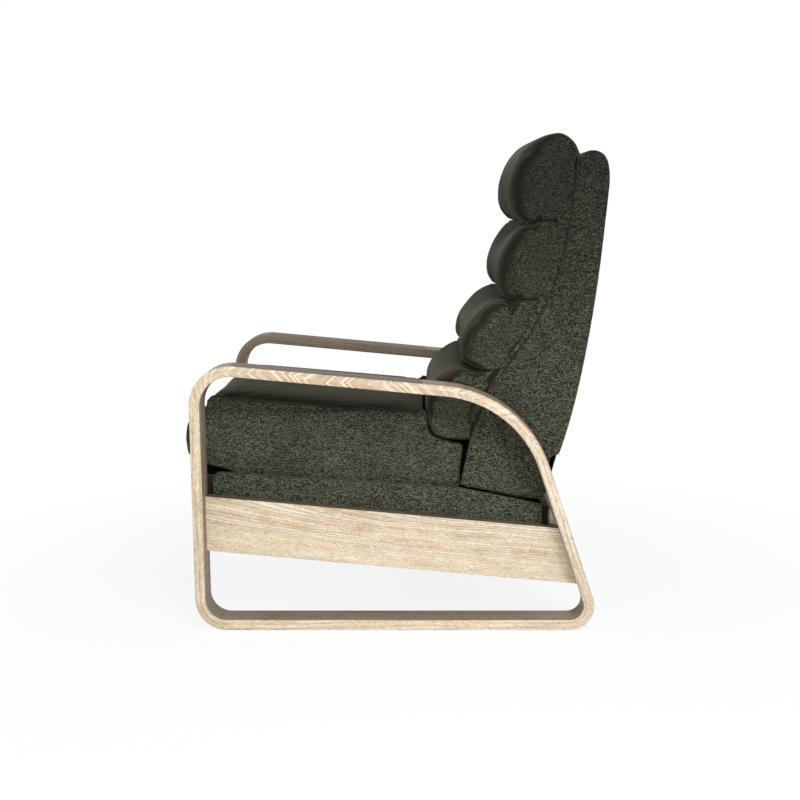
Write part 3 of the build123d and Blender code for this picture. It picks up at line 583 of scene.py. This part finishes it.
def applied(made):
    """Apply an object's modifiers to its mesh."""
    bpy.context.view_layer.update()
    evaluated = made.evaluated_get(bpy.context.evaluated_depsgraph_get())
    shape = bpy.data.meshes.new_from_object(evaluated)
    made.modifiers.clear()
    old = made.data
    made.data = shape
    bpy.data.meshes.remove(old)


def upholstered(name, bm, voxel, rounds):
    """Cloth over the joined solids of bm: one skin, its arrises rounded off."""
    bmesh.ops.recalc_face_normals(bm, faces=bm.faces)
    made = finished(name, bm, chenille)
    skin = made.modifiers.new("skin", "REMESH")
    skin.mode = "VOXEL"
    skin.voxel_size = voxel
    skin.use_smooth_shade = True
    soften = made.modifiers.new("soften", "SMOOTH")
    soften.factor = 0.5
    soften.iterations = rounds
    applied(made)
    return made


def clamped(value):
    """The value, kept between 0 and 1."""
    return max(0.0, min(1.0, value))


def paint_sheen_and_shade(made, amount_of):
    """Mark each vertex's painted sheen and shade, from its place and normal."""
    mesh = made.data
    marks = [clamped(amount_of(vertex.co, vertex.normal)) for vertex in mesh.vertices]
    mesh.attributes.new("sheen_and_shade", "FLOAT", "POINT").data.foreach_set("value", marks)


def reshaped(made, place_of):
    """Move each vertex of a cover to the place given for it and its normal."""
    mesh = made.data
    moved = [place_of(vertex.co.copy(), vertex.normal.copy()) for vertex in mesh.vertices]
    mesh.vertices.foreach_set("co", [number for co in moved for number in co])
    mesh.update()


def slab(bm, outline, x_low, x_high, fold=0.0):
    """Add a solid: an outline in the side view in mm, drawn out from x_low to x_high."""
    points = [(x_low, front_face + y / 1000, z / 1000) for y, z in outline]
    face = bm.faces.new([bm.verts.new(point) for point in points])
    grown = bmesh.ops.extrude_face_region(bm, geom=[face], use_keep_orig=True)["geom"]
    far = [e for e in grown if isinstance(e, bmesh.types.BMVert)]
    bmesh.ops.translate(bm, verts=far, vec=(x_high - x_low, 0.0, 0.0))
    if fold:
        edges = {edge for vert in far + list(face.verts) for edge in vert.link_edges}
        bmesh.ops.bevel(
            bm, geom=list(edges), offset=fold, segments=3, profile=0.5, affect="EDGES",
            clamp_overlap=True, material=-1,
        )


bm = bmesh.new()
for sign in (1, -1):
    slab(bm, base_low + base_high, sign * base_inner, sign * base_outer, cloth_fold)
    slab(bm, lip, sign * lip_inner, sign * (base_outer - 2 * cloth_fold))
slab(bm, front_pad, -front_pad_half, front_pad_half, cloth_fold)
slab(bm, rear_pad, -base_inner, base_inner, cloth_fold)
bmesh.ops.recalc_face_normals(bm, faces=bm.faces)
base_cloth = finished("base_upholstery", bm, chenille, smooth=False)
paint_sheen_and_shade(base_cloth, lambda co, normal: painted_shade_level * any(
    abs(co.x) <= half and near < co.y - front_face < far and abs(normal.x) >= aside
    for half, near, far, aside in shaded_ends
))
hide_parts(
    "base_side_panel_left", "base_side_panel_right", "base_front_panel", "base_rear_panel",
)
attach(base_cloth, "frame")

# The seat: a crowned foam cushion and its side walls under one close cover, so that
# the side is a single panel from the nose to the back's wing.
seat_half = 0.2719
seat_wall_top = 0.440
seat_swell = 0.006
free_rise = 0.02
cover_ease = 0.003
wall_inner = 0.2560
wall_outer = 0.2716
# The side wall's outline below the cushion, with its turned-up rear end.
wall_foot = (
    (15.0, 380.0), (15.0, 342.5), (73.0, 324.6), (77.0, 315.0), (495.0, 290.2), (552.0, 286.5),
    (564.0, 383.0), (553.0, 386.5), (529.5, 393.0), (506.0, 401.0), (495.0, 408.0), (489.5, 418.0),
    (488.5, 466.0), (470.0, 468.0), (470.0, 420.0),
)
# The crown in mm: at half widths of the CAD's cushion, and the dome wanted instead.
crown_now = ((0.0, 21.6), (0.16, 21.6), (0.2558, 7.2), (0.2719, -7.2))
crown_top, crown_drop, crown_fall = 15.0, 26.0, 0.011
crown_rise = 0.035
edge_run, edge_least = 0.012, 0.4
# The nose in mm from the front: it is lifted towards its corners and pushed forwards.
nose_end, nose_run = 60.0, 30.0
push_end, push_run = 40.0, 20.0
nose_lift, nose_push = 0.014, 0.003
nose_low, nose_rise = 0.425, 0.03
nose_side, nose_spread = 0.10, 0.12
# The linkage's studs end here on the wall's inner face, below this height.
stud_end, stud_room, stud_top = 0.2500, 0.2524, 0.436
# Painted sheen on faces turned up and forward, and painted shade where they turn to the side.
seat_sheen, seat_sheen_run = 0.98, 1.1
underside = -0.5


def puffed(made, cap, free_of=None):
    """Fill a cover as its stuffing does: simulate it under pressure, up to a limit."""
    rest = [vertex.co.copy() for vertex in made.data.vertices]
    if free_of is not None:
        held = made.vertex_groups.new(name="held")
        for vertex in made.data.vertices:
            held.add([vertex.index], clamped(1.0 - free_of(vertex.co)), "REPLACE")
    cloth = made.modifiers.new("stuffing", "CLOTH")
    cloth.settings.use_pressure = True
    cloth.settings.uniform_pressure_force = stuffing_pressure
    cloth.settings.effector_weights.gravity = 0.0
    cloth.settings.quality = 3
    cloth.collision_settings.use_collision = False
    if free_of is not None:
        cloth.settings.vertex_group_mass = "held"
    cloth.point_cache.frame_start = 1
    cloth.point_cache.frame_end = puff_frames
    for moment in range(1, puff_frames + 1):
        scene.frame_set(moment)
    applied(made)
    scene.frame_set(1)
    for vertex, old in zip(made.data.vertices, rest):
        move = vertex.co - old
        if move.length > cap:
            vertex.co = old + move * (cap / move.length)


def seat_free(co):
    """How free the cover is to swell: not at all up to the walls' top."""
    return (co.z - seat_wall_top) / free_rise


def crown_shaped(co, normal):
    """Draw the seat's top to a flatter dome, which the arm hides, with a squarer nose."""
    y = (co.y - front_face) * 1000
    share = clamped((co.z - seat_wall_top) / crown_rise)
    x = abs(co.x)
    now = crown_now[-1][1]
    for (low, high), (far, end) in zip(crown_now, crown_now[1:]):
        if low <= x < far:
            now = high + (end - high) * (x - low) / (far - low)
            break
    wanted = crown_top - crown_drop * (x / seat_half) ** 2 - crown_fall * max(0.0, y - nose_end)
    edge = clamped((seat_half - x) / edge_run)
    co.z += (wanted - now) / 1000 * share * (edge_least + (1 - edge_least) * edge)
    if y < nose_end:
        raised = clamped((co.z - nose_low) / nose_rise) * clamped((x - nose_side) / nose_spread)
        co.z += nose_lift * raised * min(1.0, (nose_end - y) / nose_run)
        co.y -= nose_push * clamped((push_end - y) / push_run)
    return co - normal * cover_ease * clamped(seat_free(co))


def kept_in(co, normal):
    """Keep the seat inside its width, and its walls clear of the linkage's studs."""
    x = min(seat_half, abs(co.x))
    if stud_end < x < stud_room and co.z < stud_top:
        x = stud_room
    return Vector((x if co.x > 0.0 else -x, co.y, co.z))


bm = copied("seat_cushion", "seat_side_panel_left", "seat_side_panel_right")
for sign in (1, -1):
    slab(bm, wall_foot, sign * wall_inner, sign * wall_outer)
seat = upholstered("seat_cover", bm, voxel=0.0055, rounds=2)
reshaped(seat, crown_shaped)
puffed(seat, seat_swell, seat_free)
reshaped(seat, kept_in)
paint_sheen_and_shade(
    seat,
    lambda co, normal: (seat_sheen - abs(normal.x)) / seat_sheen_run * (normal.z > underside),
)
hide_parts("seat_cushion", "seat_side_panel_left", "seat_side_panel_right")
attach(seat, "seat")

# Painted shade on the seat's edges: near-black strips behind the side walls stand in for the shade
# below the lifted nose and in the slit next to the wing.
under_near, under_far = 0.2530, 0.2620
flap_near, flap_far = 0.2526, 0.2552
edge_shade_fold = 0.001
under_edge = ((15.9, 347.0), (76.0, 328.0), (76.0, 317.4), (15.9, 317.4))
rear_flap = ((545.0, 292.0), (562.0, 292.0), (577.0, 382.0), (560.0, 386.0), (545.0, 386.0))
bm = bmesh.new()
for sign in (1, -1):
    slab(bm, under_edge, sign * under_near, sign * under_far, edge_shade_fold)
    slab(bm, rear_flap, sign * flap_near, sign * flap_far)
bmesh.ops.recalc_face_normals(bm, faces=bm.faces)
edge_shade_cloth, _, shader = material("near black, painted shade", (0.0012, 0.0012, 0.0012), 1.0)
shader.inputs["Specular IOR Level"].default_value = 0.05
under = finished("seat_edge_shade", bm, edge_shade_cloth, smooth=False)
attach(under, "seat")

# The footrest: a small foam cushion with its cover stapled under a plywood board,
# screwed to two steel brackets. It hangs folded below the seat's nose.
# Painted sheen and shade, by how far each face turns from the side.
foot_sheen = 0.95
foot_pad = upholstered("footrest_cushion", copied("footrest_pad"), voxel=0.0045, rounds=4)
paint_sheen_and_shade(foot_pad, lambda co, normal: foot_sheen - abs(normal.x))
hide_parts("footrest_pad")
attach(foot_pad, "footrest")

# The back cushion: four fibre-filled rolls sewn side by side. One gusset closes
# their ends, so on the side the channels run out before they reach the wing.
gusset_half = 0.2815
gusset_front = (
    (740.0, 925.0), (721.0, 852.0), (705.0, 770.0), (683.0, 692.0), (650.0, 612.0),
    (606.0, 542.0), (584.0, 470.0),
)
roll_ends = {
    "head_roll": (
        (721.0, 851.0), (740.0, 925.0), (798.0, 950.0), (793.6, 915.6), (785.5, 851.0),
    ),
    "upper_roll": (
        (682.5, 690.0), (705.0, 770.0), (720.5, 848.0), (784.5, 848.0), (769.2, 769.9),
        (743.0, 690.0),
    ),
    "middle_roll": (
        (606.0, 541.5), (650.0, 612.0), (681.5, 687.5), (740.0, 687.5), (700.5, 610.3),
        (653.0, 541.5),
    ),
    "lumbar_roll": (
        (489.5, 464.0), (489.5, 430.0), (493.0, 414.0), (501.0, 404.5), (515.0, 399.0),
        (540.0, 394.0), (560.0, 392.4), (580.0, 392.8), (613.5, 472.5), (648.0, 538.5),
        (604.0, 538.5), (584.0, 470.0), (520.0, 500.0),
    ),
}
# A strip of cloth behind the rolls' ends carries the seam, and ties join the rolls.
seam_line = (
    (612.0, 480.0), (643.0, 538.5), (695.0, 610.3), (737.0, 687.0), (763.5, 769.9),
    (779.0, 850.0), (782.0, 905.0),
)
seam_band = 24.0
seam_ties = (
    (684.0, 700.0, 836.5, 845.0), (639.0, 655.0, 684.5, 692.0), (560.0, 576.0, 550.5, 558.5),
)
tie_half = 0.2280
tie_fold = 0.003
seam_half = 0.2806
# Outside roll_end the rolls turn back, more so higher up, and they sag in front of
# the gusset, less so near the top and the foot.
roll_end, roll_half = 0.2327, 0.2827
roll_ease, ease_run = 0.0040, 0.02
roll_swell = 0.0095
turn_low, turn_high = 0.42, 0.75
turn_most = 0.72
sag_share, sag_most = 0.18, 0.016
sag_top, sag_top_run = 1.02, 0.09
sag_foot, sag_foot_run = 0.45, 0.1
side_part = 0.5
trim_half = 0.2832
trim_most, trim_from, trim_run = 0.0045, 0.99, 0.03
# Painted sheen and shade on the rolls in front of the gusset, by how far each face turns from the
# side.
roll_sheen, roll_sheen_run, sheen_past = 0.97, 0.65, 0.004


def gusset_at(z):
    """How far back the gusset begins, at height z."""
    points = gusset_front
    for (y, high), (far, low) in zip(points, points[1:]):
        if z >= low / 1000:
            return front_face + (far + (y - far) * (z * 1000 - low) / (high - low)) / 1000
    return front_face + points[-1][0] / 1000


def ends_rounded(co, normal):
    """Ease each roll back towards the gusset at its ends, and let its filling sag."""
    past = clamped((abs(co.x) - roll_end) / (roll_half - roll_end))
    ahead = gusset_at(co.z) - co.y
    if ahead > 0.0:
        held = min((sag_top - co.z) / sag_top_run, (co.z - sag_foot) / sag_foot_run)
        co.z -= min(sag_most, sag_share * ahead) * clamped(held)
    if past > 0.0 and ahead > 0.0:
        most = turn_most * clamped((co.z - turn_low) / (turn_high - turn_low))
        co.y += ahead * most * (1.0 - (1.0 - past * past) ** 0.5)
    forward = max(0.0, -normal.y) + side_part * max(0.0, abs(normal.x) - side_part)
    return co - normal * roll_ease * min(1.0, forward) * clamped(ahead / ease_run)


def trimmed(co, normal):
    """Keep the puffed rolls inside the wings' width and the back's height."""
    top = trim_most * clamped((co.z - trim_from) / trim_run)
    return Vector((max(-trim_half, min(trim_half, co.x)), co.y, co.z - top))


bm = bmesh.new()
for name, outline in roll_ends.items():
    tube = copied(name)
    slab(tube, outline, -gusset_half, gusset_half)
    roll = upholstered(name + "_tube", tube, voxel=0.0056, rounds=2)
    bm.from_mesh(roll.data)
    bpy.data.objects.remove(roll)
rolls = finished("back_cushion", bm, chenille)
reshaped(rolls, ends_rounded)
puffed(rolls, roll_swell)
reshaped(rolls, trimmed)
bm = bmesh.new()
bm.from_mesh(rolls.data)
seam_front = tuple((y - seam_band, z) for y, z in reversed(seam_line))
slab(bm, seam_line + seam_front, -seam_half, seam_half)
for near, far, low, high in seam_ties:
    tie = ((near, low), (far, low), (far, high), (near, high))
    slab(bm, tie, -tie_half, tie_half, tie_fold)
bmesh.ops.recalc_face_normals(bm, faces=bm.faces)
bm.to_mesh(rolls.data)
bm.free()
paint_sheen_and_shade(
    rolls,
    lambda co, normal: (roll_sheen - abs(normal.x)) / roll_sheen_run
    * (co.y < gusset_at(co.z) + sheen_past),
)
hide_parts("head_roll", "upper_roll", "middle_roll", "lumbar_roll")
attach(rolls, "back")

# The back's wings and outer shell: webbing and card over the frame, under one skin
# of cloth on thin foam, rolled over at the top. An apron closes the foot in front.
apron = ((575.0, 354.0), (585.0, 354.0), (586.0, 391.0), (576.5, 391.0))
apron_half = 0.2740
bm = copied("back_wing_left", "back_wing_right", "back_shell")
slab(bm, apron, -apron_half, apron_half)
back_cover = upholstered("back_outer_cover", bm, voxel=0.0048, rounds=2)
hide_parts("back_wing_left", "back_wing_right", "back_shell")
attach(back_cover, "back")

# The corner blocks: an offcut of the boards' oak at each side, its arrises taken off,
# is glued in where the base's rear end would leave a gap before the rear leg.
block_near, block_far = 0.2600, 0.2830
corner_block = ((747.0, 150.0), (782.0, 150.0), (757.0, 226.0), (748.5, 249.0))
bm = bmesh.new()
for sign in (1, -1):
    slab(bm, corner_block, sign * block_near, sign * block_far, board_arris)
bmesh.ops.recalc_face_normals(bm, faces=bm.faces)
blocks = finished("oak_corner_blocks", bm, oak_board, smooth=False)
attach(blocks, "frame")

# The inside: sawn pine rails and posts, glued and screwed, zinc-plated channels and
# links on rivets, powder-coated plates and brackets, wire springs and black cambric.
# These keep their CAD solids, with the finish of each.


def plain_grain(name, light, dark, stretch, roughness, metallic=0.0):
    """Sawn timber, metal or thin cloth: two tones in streaks along the piece."""
    made, tree, shader = material(name, light, roughness, metallic)
    w = Wiring(tree)
    streaks = w.noise(w.put("ShaderNodeTexCoord").outputs["Object"], stretch, 5.0)
    w.feed(shader.inputs["Base Color"], w.mix(w.step(streaks, 0.3, 0.7), dark, light))
    w.feed(shader.inputs["Normal"], w.bump(streaks, 0.25, 0.0005))
    return made


pine_light, pine_dark = (0.70, 0.53, 0.33), (0.52, 0.35, 0.19)
pine_long = plain_grain("pine, lengthways", pine_light, pine_dark, (90.0, 6.0, 120.0), 0.7)
pine_cross = plain_grain("pine, crossways", pine_light, pine_dark, (6.0, 90.0, 120.0), 0.7)
# Painted shade: the base rails are near black, where they show in the gaps beside the base.
pine_in_shade = plain_grain(
    "pine, painted shade", (0.050, 0.034, 0.022), (0.025, 0.017, 0.011), (90.0, 6.0, 120.0), 0.8
)
pine_up = plain_grain("pine, upright", pine_light, pine_dark, (90.0, 120.0, 6.0), 0.7)
birch_ply = plain_grain(
    "birch ply", (0.72, 0.58, 0.40), (0.58, 0.43, 0.27), (5.0, 400.0, 60.0), 0.65
)
black_coat = plain_grain(
    "black powder coat", (0.022, 0.022, 0.023), (0.015, 0.015, 0.016), (900.0, 900.0, 900.0), 0.45
)
cambric = plain_grain(
    "black cambric", (0.018, 0.018, 0.019), (0.009, 0.009, 0.009), (1200.0, 1200.0, 1200.0), 0.95
)
zinc = plain_grain(
    "zinc plate", (0.60, 0.60, 0.58), (0.46, 0.46, 0.46), (160.0, 60.0, 160.0), 0.38, metallic=1.0
)
wire_steel = plain_grain(
    "spring wire", (0.25, 0.25, 0.26), (0.16, 0.16, 0.17), (400.0, 400.0, 400.0), 0.35,
    metallic=1.0,
)

finishes = (
    (pine_long, ("board_tenons",)),
    (pine_in_shade, ("base_rail_left", "base_rail_right")),
    (pine_cross, (
        "base_cross_rail_front", "base_cross_rail_rear", "seat_front_rail", "seat_spring_rail",
        "back_top_rail", "back_middle_rail", "back_bottom_rail",
    )),
    (pine_up, ("back_post_left", "back_post_right", "wing_blocks")),
    (birch_ply, ("footrest_board",)),
    (chenille, ("seat_rear_rail",)),
    (cambric, ("base_dust_cover", "back_lower_cover", "back_lining")),
    (black_coat, (
        "back_pivot_brackets", "footrest_cam_plates", "linkage_side_plates", "seat_drive_brackets",
        "back_arms",
    )),
    (zinc, (
        "slide_channels", "slide_runners", "footrest_brackets", "footrest_levelling_links",
        "footrest_link_front_1", "footrest_link_front_2", "footrest_link_front_3",
        "footrest_link_rear_1", "footrest_link_rear_2", "footrest_link_rear_3",
    )),
    (wire_steel, ("seat_springs",)),
)
for finish, names in finishes:
    for node in names:
        for slot in nodes[node].material_slots:
            slot.material = finish
        if not nodes[node].material_slots:
            nodes[node].data.materials.append(finish)
